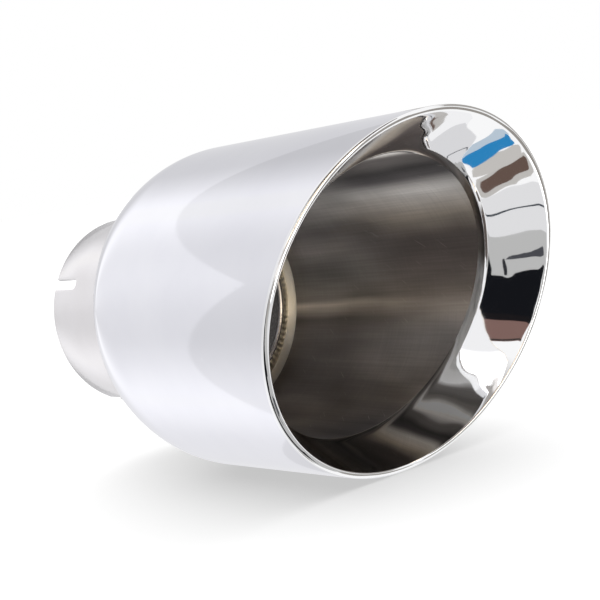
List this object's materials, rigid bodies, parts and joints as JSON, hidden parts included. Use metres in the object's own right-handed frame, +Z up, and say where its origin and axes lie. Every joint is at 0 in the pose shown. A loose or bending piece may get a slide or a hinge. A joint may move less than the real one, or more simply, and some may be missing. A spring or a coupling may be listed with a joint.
{
  "type": "exhaust tip",
  "caption": "Slash-cut double-wall exhaust tip: polished round shell with a domed rear, flared mirror lip, brushed liner and a slotted slip-on inlet neck.",
  "frame": {"origin": "centre of the inlet neck's open end, on the axis", "axes": "+X along the axis towards the mouth, +Z up with the long side of the slanted mouth on top, Y across"},
  "size_m": [0.2079, 0.127, 0.127],
  "materials": {
    "polished_shell": "mirror-polished stainless steel, with faint handling marks",
    "brushed_liner": "stainless steel brushed round the bore, with the lip and rim polished to a mirror",
    "satin_neck": "satin stainless tube with broken edges",
    "tinted_weld": "rippled weld bead with a straw heat tint"
  },
  "bodies": {
    "root": {"outer_shell": "polished_shell", "inner_liner": "brushed_liner", "inlet_neck": "satin_neck", "neck_weld": "tinted_weld"}
  },
  "joints": []
}
